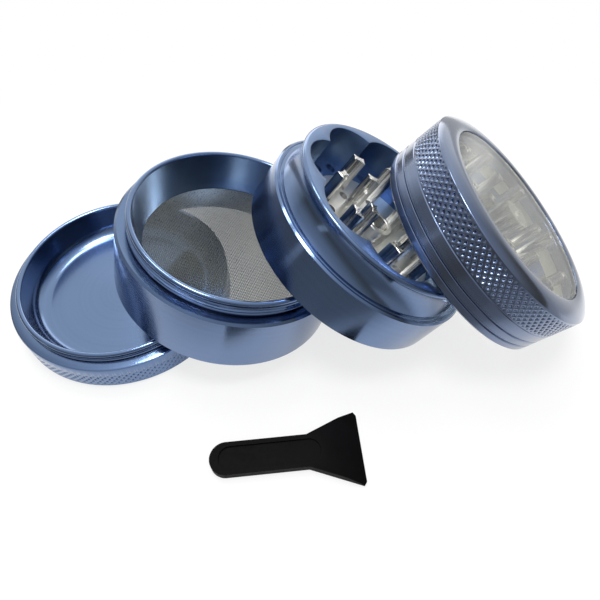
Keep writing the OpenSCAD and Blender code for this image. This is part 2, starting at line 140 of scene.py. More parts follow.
class Patches:
    """Grids and flat faces that are welded into one mesh; points are in metres, upright on the axis."""

    def __init__(self):
        self.points, self.uvs, self.kinds, self.faces, self.count = [], [], [], [], 0

    def add(self, points, uv, faces, kind=0):
        """Points with a texture place each, the faces that join them, and the faces' finish by number."""
        self.points.append(points)
        self.uvs += [uv[f] for f in faces]
        self.faces += [(f + self.count).tolist() for f in faces]
        self.kinds += [np.full(len(f), kind) for f in faces]
        self.count += len(points)

    def grid(self, points, uv, kind=0):
        """A rows by columns grid of points joined by quads."""
        rows, cols = points.shape[:2]
        i = np.arange(rows * cols).reshape(rows, cols)
        quads = np.stack([i[:-1, :-1], i[:-1, 1:], i[1:, 1:], i[1:, :-1]], -1).reshape(-1, 4)
        self.add(points.reshape(-1, 3), uv.reshape(-1, 2), [quads], kind)

    def revolve(self, runs, start=0.0, columns=256, kind=0):
        """A profile of (radius, height) runs carried round the axis; a run's relief adds to its radius."""
        turn = start + np.linspace(0, 2 * math.pi, columns + 1)
        done = 0.0
        for points, relief in runs:
            points = np.asarray(points, float)
            step = np.hypot(*np.diff(points, axis=0).T)
            along = done + np.concatenate([[0], np.cumsum(step)])
            done = along[-1]
            radius = np.repeat(points[:, :1], columns + 1, 1)
            if relief:
                radius = radius + relief(turn[None, :], points[:, 1:2])
            xyz = np.stack([radius * np.cos(turn), radius * np.sin(turn),
                            np.repeat(points[:, 1:2], columns + 1, 1)], -1)
            uv = np.stack(np.broadcast_arrays(np.linspace(0, 1, columns + 1)[None, :], along[:, None]), -1)
            self.grid(xyz, uv, kind)

    def flat(self, loops, height, kind=0):
        """A level face inside the first loop with the other loops left open; height may follow x."""
        loops = [np.asarray(loop, float) for loop in loops]
        xy = np.concatenate(loops)
        z = height(xy[:, 0]) if callable(height) else np.full(len(xy), height)
        corners = tessellate_polygon([[Vector((x, y, 0)) for x, y in loop] for loop in loops])
        uv = np.stack([np.arctan2(xy[:, 1], xy[:, 0]) / (2 * math.pi), np.hypot(*xy.T)], -1)
        self.add(np.column_stack([xy, z]), uv, [np.array(corners)], kind)

    def wall(self, loop, low, high, kind=0):
        """A closed loop of points in plan carried from one height to another; a height may be per point."""
        ring = np.concatenate([loop, loop[:1]])
        levels = [np.broadcast_to(np.append(h, h[0]) if np.ndim(h) else h, len(ring)) for h in (low, high)]
        xyz = np.stack([np.column_stack([ring, z]) for z in levels])
        run = np.concatenate([[0], np.cumsum(np.hypot(*np.diff(ring, axis=0).T))])
        rise = abs(float(np.mean(levels[1] - levels[0])))
        uv = np.stack(np.broadcast_arrays(run[None, :], np.array([[0.0], [rise]])), -1)
        self.grid(xyz, uv, kind)

    def post(self, loop, foot, end, bevel):
        """An outline carried up or down from its foot, drawn in by a bevel all round its flat end."""
        inner, shoulder = shrink(loop, bevel), end - math.copysign(bevel, end - foot)
        self.wall(loop, foot, shoulder)
        ring = np.stack([np.column_stack([np.concatenate([p, p[:1]]), np.full(len(p) + 1, z)])
                         for p, z in ((loop, shoulder), (inner, end))])
        self.grid(ring, np.zeros((*ring.shape[:2], 2)))
        self.flat([inner], end)


def shrink(loop, by):
    """The outline with every point moved square to its neighbours' line, inwards for a positive amount."""
    ahead, behind = np.roll(loop, -1, 0) - loop, loop - np.roll(loop, 1, 0)
    unit = ahead / np.linalg.norm(ahead, axis=1)[:, None] + behind / np.linalg.norm(behind, axis=1)[:, None]
    unit /= np.maximum(np.linalg.norm(unit, axis=1), 1e-9)[:, None]
    area = np.sum(loop[:, 0] * np.roll(loop[:, 1], -1) - np.roll(loop[:, 0], -1) * loop[:, 1])
    return loop + by * math.copysign(1, area) * np.column_stack([-unit[:, 1], unit[:, 0]])


def arc(x, y, r, first, last, steps=10):
    """Points on a circle from one angle to another, in degrees."""
    a = np.radians(np.linspace(first, last, steps + 1))
    return np.column_stack([x + r * np.cos(a), y + r * np.sin(a)])


def circle(x, y, r, steps=32):
    """A closed ring of points at one distance from its centre."""
    return arc(x, y, r, 0, 360, steps)[:-1]


def ringed(outline, count, radius, start):
    """Copies of an outline set round the axis, its own x along the radius."""
    for i in range(count):
        a = math.radians(start) + 2 * math.pi * i / count
        turn = np.array([[math.cos(a), math.sin(a)], [-math.sin(a), math.cos(a)]])
        yield (outline + [radius, 0]) @ turn


def wave(x):
    """0 at whole numbers and 1 half way between them."""
    return 1 - 2 * np.abs(x - np.floor(x) - 0.5)


def ease(x):
    """A smooth step: three times the square less twice the cube, between 0 and 1."""
    x = np.clip(x, 0, 1)
    return x * x * (3 - 2 * x)


def knurl(low, high, rows_per_pit=10):
    """Staggered four-sided pits, each sunk in straight slopes from a diamond's edge to a small flat."""
    s = sizes()
    pitch = 2 * math.pi * s.outer_r / s.knurl_count
    steep, rim, fade_over = 2.1, 0.8, 0.2 * pitch

    def relief(turn, z):
        u, v = turn * s.knurl_count / (2 * math.pi), (z - low) / pitch
        pit = np.clip(steep * np.minimum(wave(u + v), wave(u - v)) - rim, 0, 1)
        fade = ease((z - low) / fade_over) * ease((high - z) / fade_over)
        return -s.knurl_depth * pit * fade

    rows = int(round((high - low) / pitch * rows_per_pit))
    return np.column_stack([np.full(rows + 1, s.outer_r), np.linspace(low, high, rows + 1)]), relief


def thread(radius, low, high, fade_from=0.5, row=0.09 * MM):
    """A rounded ridge that climbs one pitch each turn, with the groove between cut into the wall."""
    s = sizes()
    steep, root = 1.5, 0.15

    def relief(turn, z):
        crest = ease(steep * wave(z / s.thread_pitch - turn / (2 * math.pi)) - root)
        reach = fade_from * s.thread_pitch
        return -s.thread_depth * (1 - crest) * (ease((z - low) / reach) * ease((high - z) / reach))

    rows = int(round((high - low) / row))
    return np.column_stack([np.full(rows + 1, radius), np.linspace(low, high, rows + 1)]), relief


def downwards(run):
    """The same run of a profile, read from its top to its foot."""
    points, relief = run
    return points[::-1], relief


def turned_to(points, body):
    """Upright points turned by Rodrigues' formula to the section's axis, its foot's edge set on the table."""
    if body not in AXIS or body == "scraper_body":
        return points
    s = sizes()
    foot = {"sieve_section": s.sieve_foot, "tooth_section": s.tooth_foot}.get(body, s.lid_foot)
    up = AXIS[body] / np.linalg.norm(AXIS[body])
    v = np.cross([0, 0, 1], up)
    k = np.array([[0, -v[2], v[1]], [v[2], 0, -v[0]], [-v[1], v[0], 0]])
    turn = np.eye(3) + k + k @ k / (1 + up[2])
    return points @ turn.T + [foot[0], foot[1], s.outer_r * math.hypot(up[0], up[1])]


def make_piece(name, parts, body, nodes, finishes, sharp=32.0, bevel=0.0):
    """Welds the patches, points every face outwards, shades it smooth but for its edges, and seats it."""
    mesh = bpy.data.meshes.new(name)
    mesh.from_pydata(turned_to(np.concatenate(parts.points), body).tolist(), [], sum(parts.faces, []))
    layer = mesh.uv_layers.new(name="turned")
    uvs = np.concatenate([uv.reshape(-1, 2) for uv in parts.uvs])
    layer.data.foreach_set("uv", uvs.astype(np.float32).ravel())
    mesh.polygons.foreach_set("material_index", np.concatenate(parts.kinds).astype(np.int32))
    bm = bmesh.new()
    bm.from_mesh(mesh)
    bmesh.ops.remove_doubles(bm, verts=bm.verts, dist=WELD)
    bmesh.ops.recalc_face_normals(bm, faces=bm.faces)
    bm.to_mesh(mesh)
    bm.free()
    mesh.shade_smooth()
    mesh.set_sharp_from_angle(angle=math.radians(sharp))
    for finish in finishes:
        mesh.materials.append(finish)
    piece = bpy.data.objects.new(name, mesh)
    bpy.context.scene.collection.objects.link(piece)
    if bevel:
        cut = piece.modifiers.new("edge", "BEVEL")
        cut.width, cut.segments, cut.limit_method, cut.angle_limit = bevel, 3, "ANGLE", math.radians(40)
        cut.harden_normals = True
    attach(piece, body)
    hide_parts(*nodes)
    return piece


# ---------- Finishes ----------

def new_finish(name):
    """The finish of that name, and its node tree and shader the first time it is asked for."""
    name = "grinder_" + name
    material = bpy.data.materials.get(name)
    if material:
        return material, None, None
    material = bpy.data.materials.new(name)
    material.use_nodes = True
    return material, material.node_tree, material.node_tree.nodes["Principled BSDF"]


def add(tree, kind, **values):
    """A node with its properties set, and its inputs where the name is an input's."""
    node = tree.nodes.new(kind)
    for key, value in values.items():
        if key in node.inputs:
            node.inputs[key].default_value = value
        else:
            setattr(node, key, value)
    return node


def join(tree, value, socket):
    """Links another node's output to the socket, or sets a plain value on it."""
    if isinstance(value, bpy.types.NodeSocket):
        tree.links.new(value, socket)
    else:
        socket.default_value = value


def ramp(tree, source, low, high, to_low, to_high):
    """A straight change from one value to another between two levels of the source, held beyond them."""
    node = add(tree, "ShaderNodeMapRange", clamp=True)
    for value, socket in zip((source, low, high, to_low, to_high), node.inputs):
        join(tree, value, socket)
    return node.outputs[0]


def calc(tree, operation, *values):
    """One step of arithmetic on outputs of other nodes and plain numbers."""
    node = add(tree, "ShaderNodeMath", operation=operation)
    for value, socket in zip(values, node.inputs):
        join(tree, value, socket)
    return node.outputs[0]


def blended(tree, share, first, second):
    """The first colour where the share is 0, and the second where it is 1."""
    node = add(tree, "ShaderNodeMix", data_type="RGBA")
    for value, number in ((share, 0), (first, 6), (second, 7)):
        join(tree, value, node.inputs[number])
    return node.outputs[2]


def speckle(tree, where, scale, detail):
    """Noise over points in space."""
    node = add(tree, "ShaderNodeTexNoise", Scale=scale, Detail=detail)
    tree.links.new(where, node.inputs["Vector"])
    return node.outputs[0]


def streaks(tree, along, scale, **values):
    """Noise over one length, so that it makes bands across it."""
    node = add(tree, "ShaderNodeTexNoise", noise_dimensions="1D", Scale=scale, Detail=2.0, **values)
    tree.links.new(along, node.inputs["W"])
    return node.outputs[0]


def raised(tree, shader, height, strength, distance):
    """A fine relief on the shader's normal."""
    bump = add(tree, "ShaderNodeBump", Strength=strength, Distance=distance)
    tree.links.new(height, bump.inputs["Height"])
    tree.links.new(bump.outputs[0], shader.inputs["Normal"])


def turned_finish(name, rgb, rough, streak=1.0, stretched=0.75, coat=0.5):
    """Lathe-turned metal: rings of varied roughness and a fine groove bump that follow the profile."""
    material, tree, shader = new_finish(name)
    if tree is None:
        return material
    link = tree.links.new
    where, split = add(tree, "ShaderNodeTexCoord"), add(tree, "ShaderNodeSeparateXYZ")
    link(add(tree, "ShaderNodeUVMap", uv_map="turned").outputs[0], split.inputs[0])
    # The map holds turns round the axis and metres along the profile, here made millimetres
    around, along = split.outputs[0], calc(tree, "MULTIPLY", split.outputs[1], 1 / MM)
    fine = streaks(tree, along, 3.5, Roughness=0.6)
    wide = ramp(tree, streaks(tree, along, 0.9), 0.3, 0.7, 0.0, 1.0)
    patches = calc(tree, "ADD", fine, speckle(tree, where.outputs["Object"], 55.0, 3.0))
    link(ramp(tree, patches, 0.6, 1.4, rough - 0.03, rough + 0.04), shader.inputs["Roughness"])
    darker, paler = [c * 0.98 for c in rgb], [min(1, c * 1.02 + 0.002) for c in rgb]
    link(blended(tree, wide, (*darker, 1), (*paler, 1)), shader.inputs["Base Color"])
    chatter = streaks(tree, around, 170.0)
    raised(tree, shader, calc(tree, "MULTIPLY_ADD", chatter, 9.0, fine), 0.035 * streak, 0.02 * MM)
    tangent = add(tree, "ShaderNodeTangent", direction_type="UV_MAP", uv_map="turned")
    link(tangent.outputs[0], shader.inputs["Tangent"])
    shader.inputs["Metallic"].default_value = 1.0
    shader.inputs["Anisotropic"].default_value = stretched
    shader.inputs["Anisotropic Rotation"].default_value = 0.25
    shader.inputs["Coat Weight"].default_value = coat
    shader.inputs["Coat Roughness"].default_value = 0.13
    return material


def plain_finish(name, rgb, rough, metallic=0.0, grain=400.0, bump=0.05, stretch=(1, 1, 1), lean=None,
                 patchy=0.06, shine=0.5):
    """A surface with a grain on object coordinates; a stretch along a section's axis makes milling lines."""
    material, tree, shader = new_finish(name)
    if tree is None:
        return material
    link = tree.links.new
    where = add(tree, "ShaderNodeTexCoord").outputs["Object"]
    turn = add(tree, "ShaderNodeMapping")
    turn.inputs["Scale"].default_value = stretch
    if lean is not None:
        upright = add(tree, "ShaderNodeMapping")
        tilt = Vector((0, 0, 1)).rotation_difference(Vector(AXIS[lean]))
        upright.inputs["Rotation"].default_value = tilt.inverted().to_euler()
        link(where, upright.inputs[0])
        where = upright.outputs[0]
    link(where, turn.inputs[0])
    lines = speckle(tree, turn.outputs[0], grain, 4.0)
    shade = speckle(tree, turn.outputs[0], grain / 12, 2.0) if lean is None else lines
    link(ramp(tree, lines, 0.3, 0.7, max(0.02, rough - 0.05), rough + 0.06), shader.inputs["Roughness"])
    darker, paler = [c * (1 - patchy) for c in rgb], [min(1, c * (1 + patchy)) for c in rgb]
    shade = ramp(tree, shade, 0.3, 0.7, 0.0, 1.0)
    link(blended(tree, shade, (*darker, 1), (*paler, 1)), shader.inputs["Base Color"])
    raised(tree, shader, lines, min(1.0, bump), 0.03 * MM * max(1.0, bump))
    shader.inputs["Metallic"].default_value = metallic
    shader.inputs["Specular IOR Level"].default_value = shine
    return material


def tinted(rgb, by):
    """A colour with each channel multiplied."""
    return [min(1, c * g) for c, g in zip(rgb, by)]


def anodised():
    """Blue anodised walls."""
    return turned_finish("anodised", colours().anodised, 0.17)


def lid_anodised():
    """The lid's walls, a little greyer and glossier."""
    return turned_finish("anodised_lid", tinted(colours().anodised, (1.1, 0.95, 0.87)), 0.16, coat=0.8)


def milled_painted_light():
    """Anodised faces that were cut with a mill, duller, and paler as painted light inside the tooth chamber's
    shaded hollow.
    """
    return turned_finish("anodised_milled", tinted(colours().anodised, (1.1, 1.18, 1.22)), 0.36,
                         streak=0.5, stretched=0.1)


def machined(name, painted_light_gain, rough, body):
    """Bare teeth, with milling lines along their section's axis; a gain above 1 pales the bare colour as
    painted light.
    """
    return plain_finish(name, tinted(colours().bare, (painted_light_gain, painted_light_gain, painted_light_gain)), rough, metallic=1.0,
                        grain=1900.0, bump=3.0, stretch=(1, 1, 0.03), lean=body, patchy=0.4)


def faced():
    """The bare plate's faced surfaces."""
    return plain_finish("bare_faced", colours().bare, 0.34, metallic=1.0, grain=1400.0, bump=0.06)


def nickel():
    """Plated magnets."""
    return plain_finish("nickel", colours().nickel, 0.14, metallic=1.0, grain=900.0)


def stainless():
    """Drawn wire."""
    return plain_finish("stainless_wire", colours().wire, 0.3, metallic=1.0, grain=2500.0, bump=0.1)


def clear_finish():
    """Clear acrylic with a trace of haze."""
    material, tree, shader = new_finish("clear_window")
    if tree is not None:
        haze = speckle(tree, add(tree, "ShaderNodeTexCoord").outputs["Object"], 120.0, 4.0)
        tree.links.new(ramp(tree, haze, 0.35, 0.7, 0.0, 0.012), shader.inputs["Roughness"])
        shader.inputs["Base Color"].default_value = (*colours().clear, 1)
        shader.inputs["Transmission Weight"].default_value = 1.0
        shader.inputs["IOR"].default_value = 1.49
    return material


# ---------- Pieces ----------

class Builds:
    """What the operators share."""

    bl_options = {"REGISTER", "UNDO"}


class GRINDER_OT_catcher(Builds, bpy.types.Operator):
    """Shallow bowl with a knurled band, a threaded spigot and a swept floor"""

    bl_idname = "grinder.catcher"
    bl_label = "Catcher"

    def execute(self, context):
        s = sizes()
        r, top, half = s.outer_r, 11.7 * MM, s.lip / 2
        band_low, band_high, shoulder, foot = 0.7 * MM, 5.6 * MM, 8.8 * MM, 9.1 * MM
        lip_x, relief_x = s.spigot_r - half, s.spigot_r - 0.5 * MM
        sweep_x, sweep_z, sweep_r, floor = 22.3 * MM, 6.2 * MM, 4.2 * MM, 2 * MM
        shape = Patches()
        shape.revolve([
            ([(0, 0), (10 * MM, 0), (r - 0.4 * MM, 0), (r, 0.4 * MM), (r, band_low)], None),
            knurl(band_low, band_high),
            ([(r, band_high), (r, 8.2 * MM), (r - 0.15 * MM, 8.55 * MM), (r - 0.6 * MM, shoulder),
              (relief_x, shoulder), (relief_x, foot), (s.spigot_r, foot)], None),
            thread(s.spigot_r, foot, top - s.lip + 0.3 * MM, fade_from=0.25),
            (arc(lip_x, top - half, half, -37, 180, 16), None),
            ([(lip_x - half, top - half), (26.5 * MM, sweep_z)], None),
            (arc(sweep_x, sweep_z, sweep_r, 0, -90, 20), None),
            ([(sweep_x, floor), (12 * MM, floor), (0, floor)], None),
        ], columns=8 * s.knurl_count)
        make_piece("catcher", shape, "catcher", ["catcher_bowl"], [anodised()])
        return {"FINISHED"}


class GRINDER_OT_sieve_chamber(Builds, bpy.types.Operator):
    """Plain turned chamber with a threaded spigot, a tapered bore and a ledge for the screen"""

    bl_idname = "grinder.sieve_chamber"
    bl_label = "Sieve chamber"

    def execute(self, context):
        s = sizes()
        r, top, half = s.outer_r, 22.6 * MM, s.lip / 2
        lip_x, relief_x, h = s.spigot_r - half, s.spigot_r - 0.5 * MM, 17.9 * MM
        ledge_x, mouth, recess_top, ceiling = 26.8 * MM, 0.3 * MM, 4.6 * MM, 5 * MM
        shape = Patches()
        wire = arc(SNAP_X, SNAP_Z, 0.62 * MM, 61, -61, 8)
        shape.revolve([
            ([(s.recess_r + mouth, 0), (r - 0.4 * MM, 0), (r, 0.4 * MM), (r, 9 * MM), (r, h - 0.6 * MM),
              (r - 0.6 * MM, h), (relief_x, h), (relief_x, h + 0.6 * MM), (s.spigot_r, h + 0.7 * MM)], None),
            thread(s.spigot_r, h + 0.7 * MM, top - s.lip + 0.3 * MM),
            (arc(lip_x, top - half, half, -37, 180, 16), None),
            ([(lip_x - half, top - half), (26 * MM, 17 * MM), (24.7 * MM, 12 * MM), (24.6 * MM, SCREEN_TOP),
              (ledge_x, SCREEN_TOP), wire[0]], None),
            (wire, None),
            ([wire[-1], (ledge_x, ceiling), (s.recess_r, ceiling), (s.recess_r, recess_top)], None),
            downwards(thread(s.recess_r, mouth, recess_top)),
            ([(s.recess_r, mouth), (s.recess_r + mouth, 0)], None),
        ], columns=384)
        make_piece("sieve_chamber_turned", shape, "sieve_section", ["sieve_chamber"],
                   [anodised()])
        return {"FINISHED"}


class GRINDER_OT_screen(Builds, bpy.types.Operator):
    """Woven wire screen, one piece for each direction of its wires, and the ring that holds it"""

    bl_idname = "grinder.screen"
    bl_label = "Screen"

    def wires(self, name, turn, sign):
        """Wires on parallel lines that rise and dip by one wire at every crossing, each a four-sided tube."""
        s = sizes()
        reach, pitch, thick = 26.55 * MM, s.wire_pitch, s.wire_r
        n = int(reach / pitch)
        line, step = np.meshgrid(np.arange(-n, n + 1), np.arange(-n, n + 1), indexing="ij")
        x, y = step * pitch, line * pitch
        inside = np.hypot(x, y) < reach
        z = SCREEN_TOP - 0.17 * MM + sign * thick * (1 - 2 * ((line + step) % 2))
        ring = np.stack([np.stack([x, y + dy * thick, z + dz * thick], -1)
                         for dy, dz in ((1, 0), (0, 1), (-1, 0), (0, -1))], 2)
        a = math.radians(turn)
        xy = ring[..., :2] @ np.array([[math.cos(a), math.sin(a)], [-math.sin(a), math.cos(a)]])
        points = np.concatenate([xy, ring[..., 2:]], -1).reshape(-1, 3)
        index = np.arange(len(points)).reshape(*inside.shape, 4)
        both = inside[:, :-1] & inside[:, 1:]
        beside = np.roll(index, -1, 2)
        sides = np.stack([index[:, :-1], beside[:, :-1], beside[:, 1:], index[:, 1:]], -1)
        quads = sides[both].reshape(-1, 4)
        padded = np.pad(inside, ((0, 0), (1, 1)))
        first = inside & ~padded[:, :-2] & padded[:, 2:]
        last = inside & ~padded[:, 2:] & padded[:, :-2]
        quads = np.concatenate([quads, index[first], index[last][:, ::-1]])
        used, quads = np.unique(quads, return_inverse=True)
        shape = Patches()
        shape.add(points[used], np.zeros((len(used), 2)), [quads.reshape(-1, 4)])
        make_piece(name, shape, "sieve_section", ["sieve_screen"], [stainless()], sharp=80.0)

    def snap_ring(self, wire_r=0.6 * MM, gap=24.0):
        """A round wire carried along an open circle; near each end it shrinks on a short cap to a point."""
        turn = np.radians(np.linspace(gap / 2, 360 - gap / 2, 181))
        around = np.linspace(0, 2 * math.pi, 17)
        grow = np.concatenate([[0, 0.6, 0.9], np.ones(len(turn)), [0.9, 0.6, 0]])
        shift = np.concatenate([[-1, -0.8, -0.4], np.zeros(len(turn)), [0.4, 0.8, 1]]) * wire_r
        a = np.concatenate([[turn[0]] * 3, turn, [turn[-1]] * 3])
        rad = SNAP_X + wire_r * grow[:, None] * np.cos(around)
        along = shift[:, None]
        points = np.stack([rad * np.cos(a)[:, None] - along * np.sin(a)[:, None],
                           rad * np.sin(a)[:, None] + along * np.cos(a)[:, None],
                           SNAP_Z + wire_r * grow[:, None] * np.sin(around)], -1)
        shape = Patches()
        shape.grid(points, np.zeros((*points.shape[:2], 2)))
        make_piece("snap_ring", shape, "sieve_section", ["screen_snap_ring"], [stainless()],
                   sharp=60.0)

    def execute(self, context):
        self.wires("screen_warp", 24.0, 1)
        self.wires("screen_weft", 114.0, -1)
        self.snap_ring()
        return {"FINISHED"}


def scallops(columns):
    """Overlapping arcs round the axis: in each direction, where a ray leaves the nearest arc's circle."""
    half = math.pi / LOBES
    at = (LOBE_R ** 2 - CUSP_R ** 2) / (2 * (LOBE_R - CUSP_R * math.cos(half)))
    turn = np.linspace(0, 2 * math.pi, columns + 1)
    off = (turn + half) % (2 * half) - half
    radius = at * np.cos(off) + np.sqrt((LOBE_R - at) ** 2 - (at * np.sin(off)) ** 2)
    return turn + math.radians(LOBE_TURN), radius


def tooth_outline(long, wide, sweep=0.7 * MM, flute=3.2 * MM, steps=8):
    """Four corners joined by arcs that hollow the sides, the two long corners swept round."""
    corners = np.array([[-long / 2, -sweep], [0, -wide / 2], [long / 2, sweep], [0, wide / 2]])
    runs = []
    for a, b in zip(corners, np.roll(corners, -1, 0)):
        half = np.linalg.norm(b - a) / 2
        out = np.array([b[1] - a[1], a[0] - b[0]]) / (2 * half)
        centre = (a + b) / 2 + out * math.sqrt(flute ** 2 - half ** 2)
        first, last = (math.degrees(math.atan2(*(p - centre)[::-1])) for p in (a, b))
        last = first + (last - first + 180) % 360 - 180
        runs.append(arc(*centre, flute, first, last, steps)[:-1])
    return np.concatenate(runs)


class GRINDER_OT_tooth_chamber(Builds, bpy.types.Operator):
    """Chamber with a coved neck, a scalloped wall and paired holes in its floor"""

    bl_idname = "grinder.tooth_chamber"
    bl_label = "Tooth chamber"

    def execute(self, context):
        s = sizes()
        r, h, top, half = s.outer_r, 12.5 * MM, 20.9 * MM, s.lip / 2
        lip_x, mouth, recess_top, edge = s.spigot_r - half, 0.3 * MM, 5.2 * MM, 0.18 * MM
        cove_x, cove_z, cove_r, cove_top = (27.9 + 8.56) * MM, 17.036 * MM, 8.56 * MM, 19.42 * MM
        z = np.linspace(h, cove_top, 30)
        cove = np.column_stack([cove_x - np.sqrt(cove_r ** 2 - (z - cove_z) ** 2), z])
        columns, shape = 384, Patches()
        turn, wall_r = scallops(columns)
        shape.revolve([
            ([(s.recess_r, PLATE_FOOT), (s.recess_r, recess_top)], None),
            downwards(thread(s.recess_r, mouth, recess_top)),
            ([(s.recess_r, mouth), (s.recess_r + mouth, 0), (r - 0.4 * MM, 0), (r, 0.4 * MM), (r, 6 * MM),
              (r, h - 0.45 * MM), (r - 0.45 * MM, h), (r - 0.9 * MM, h), (r - 1.05 * MM, h - 0.2 * MM),
              (r - 1.25 * MM, h - 0.2 * MM), (r - 1.4 * MM, h), (cove[0, 0], h)], None),
            (cove, None),
            (arc(lip_x, top - half, half, -76, 90, 14), None),
        ], start=turn[0], columns=columns)

        def ring(radius, height=0.0):
            """Points round the axis in the scallops' directions, at one radius or one for each."""
            return np.column_stack([radius * np.cos(turn), radius * np.sin(turn),
                                    np.full(columns + 1, height)])

        rims = [ring(lip_x, top), ring(wall_r + edge, top), ring(wall_r + 0.3 * edge, top - 0.3 * edge),
                ring(wall_r, top - edge), ring(wall_r, (top + PLATE_TOP) / 2), ring(wall_r, PLATE_TOP)]
        run = np.array([0, 2, 2.2, 2.5, 7, 12]) * MM
        uv = np.stack(np.broadcast_arrays(np.linspace(0, 1, columns + 1)[None, :], run[:, None]), -1)
        shape.grid(np.stack(rims), uv, 1)
        holes = [hole for aside in (-7.5, 7.5)
                 for hole in ringed(circle(0, 0, 1.5 * MM, 24), LOBES, 23.4 * MM, LOBE_TURN + aside)]
        shape.flat([ring(wall_r)[:-1, :2], ring(PLATE_RIM)[:-1, :2], *holes], PLATE_TOP, 1)
        shape.revolve([([(PLATE_RIM, PLATE_TOP), (PLATE_RIM, 7.9 * MM), (PLATE_LEDGE, 7.9 * MM),
                         (PLATE_LEDGE, PLATE_FOOT)], None)], start=turn[0], columns=columns)
        shape.flat([ring(s.recess_r)[:-1, :2], ring(PLATE_LEDGE)[:-1, :2], *holes], PLATE_FOOT, 1)
        for hole in holes:
            shape.wall(hole, PLATE_FOOT, PLATE_TOP, 1)
        # The chamber's inside faces take the milled finish, whose paler colour is painted light in its shaded
        # hollow.
        make_piece("tooth_chamber_turned", shape, "tooth_section", ["tooth_chamber"],
                   [anodised(), milled_painted_light()])
        return {"FINISHED"}


class GRINDER_OT_chamber_teeth(Builds, bpy.types.Operator):
    """Bare plate with two rings of fluted teeth, a centre post and its magnet"""

    bl_idname = "grinder.chamber_teeth"
    bl_label = "Chamber teeth"

    def execute(self, context):
        columns, shape = 192, Patches()
        fit, top, post_r, bore = 0.02 * MM, 13.6 * MM, 4.4 * MM, 3 * MM
        rim, ledge = PLATE_RIM - fit, PLATE_LEDGE - fit
        tooth = tooth_outline(3.9 * MM, TOOTH_WIDE)
        teeth = [*ringed(tooth, 8, 16.4 * MM, LOBE_TURN), *ringed(tooth, 4, 9.4 * MM, LOBE_TURN)]
        holes = list(ringed(circle(0, 0, 1.4 * MM, 24), 8, 12.9 * MM, LOBE_TURN))
        shape.flat([circle(0, 0, rim - 0.15 * MM, columns), *teeth, *holes, circle(0, 0, post_r, 64)],
                   PLATE_TOP, 1)
        shape.revolve([([(rim - 0.15 * MM, PLATE_TOP), (rim, PLATE_TOP - 0.15 * MM), (rim, 7.92 * MM),
                         (ledge, 7.92 * MM), (ledge, PLATE_FOOT)], None)], columns=columns, kind=1)
        shape.flat([circle(0, 0, ledge, columns), *holes], PLATE_FOOT, 1)
        for hole in holes:
            shape.wall(hole, PLATE_FOOT, PLATE_TOP, 1)
        for outline in teeth:
            shape.post(outline, PLATE_TOP, 20 * MM, sizes().edge)
        shape.revolve([([(post_r, PLATE_TOP), (post_r, top - 0.25 * MM), (4.15 * MM, top), (3.1 * MM, top),
                         (bore, top - 0.1 * MM), (bore, top - 2 * MM), (0, top - 2 * MM)], None)],
                      columns=64, kind=1)
        make_piece("toothed_plate", shape, "tooth_section", ["tooth_plate"],
                   [machined("bare_machined", 1.0, 0.14, "tooth_section"), faced()])
        disc = Patches()
        disc.revolve([([(0, top - 1.98 * MM), (MAGNET_R, top - 1.98 * MM), (MAGNET_R, top - 0.2 * MM),
                        (2.8 * MM, top - fit), (0, top - fit)], None)], columns=64)
        make_piece("lower_magnet", disc, "tooth_section", ["chamber_magnet"], [nickel()])
        return {"FINISHED"}


class GRINDER_OT_lid_ring(Builds, bpy.types.Operator):
    """Lid with two grooves, a knurled band, a domed bezel and a groove inside for its friction ring"""

    bl_idname = "grinder.lid_ring"
    bl_label = "Lid ring"

    def execute(self, context):
        s = sizes()
        r, low, high, corner = s.outer_r, 8.3 * MM, 15.0 * MM, 0.35 * MM
        corner_z, dome_x, dome_z, dome_r, join_at = 15.222 * MM, r - 4.5 * MM, 9.4 * MM, 7.5 * MM, 54.5
        skirt, bore, opening = 29.3 * MM, 26.6 * MM, 25.5 * MM
        groove, groove_low, groove_high = 29.9 * MM, 5.4 * MM, 9.4 * MM
        cuts = []
        for z in (2.3 * MM, 4.7 * MM):
            cuts += [(r, z - 0.42 * MM), (r - 0.12 * MM, z - 0.3 * MM), (r - 0.4 * MM, z - 0.18 * MM),
                     (r - 0.4 * MM, z + 0.18 * MM), (r - 0.12 * MM, z + 0.3 * MM), (r, z + 0.42 * MM)]
        shape = Patches()
        shape.revolve([
            ([(29.45 * MM, 0), (r - 0.4 * MM, 0), (r, 0.4 * MM), *cuts, (r, 7.7 * MM),
              (r - 0.18 * MM, 7.9 * MM), (r - 0.18 * MM, 8.1 * MM), (r, low)], None),
            knurl(low, high),
            ([(r, high), (r, corner_z)], None),
            (arc(r - corner, corner_z, corner, 0, join_at, 6), None),
            (arc(dome_x, dome_z, dome_r, join_at, 90, 18), None),
            ([(dome_x, 16.9 * MM), (25.8 * MM, 16.9 * MM), (25.55 * MM, 16.82 * MM), (opening, 16.6 * MM),
              (opening, 16.1 * MM), (bore, 16.1 * MM), (bore, groove_high), (groove, groove_high),
              (groove, groove_low), (skirt, groove_low), (skirt, 0.15 * MM), (29.45 * MM, 0)], None),
        ], columns=8 * s.knurl_count)
        make_piece("lid_ring_turned", shape, "lid", ["lid_ring"], [lid_anodised()])
        return {"FINISHED"}


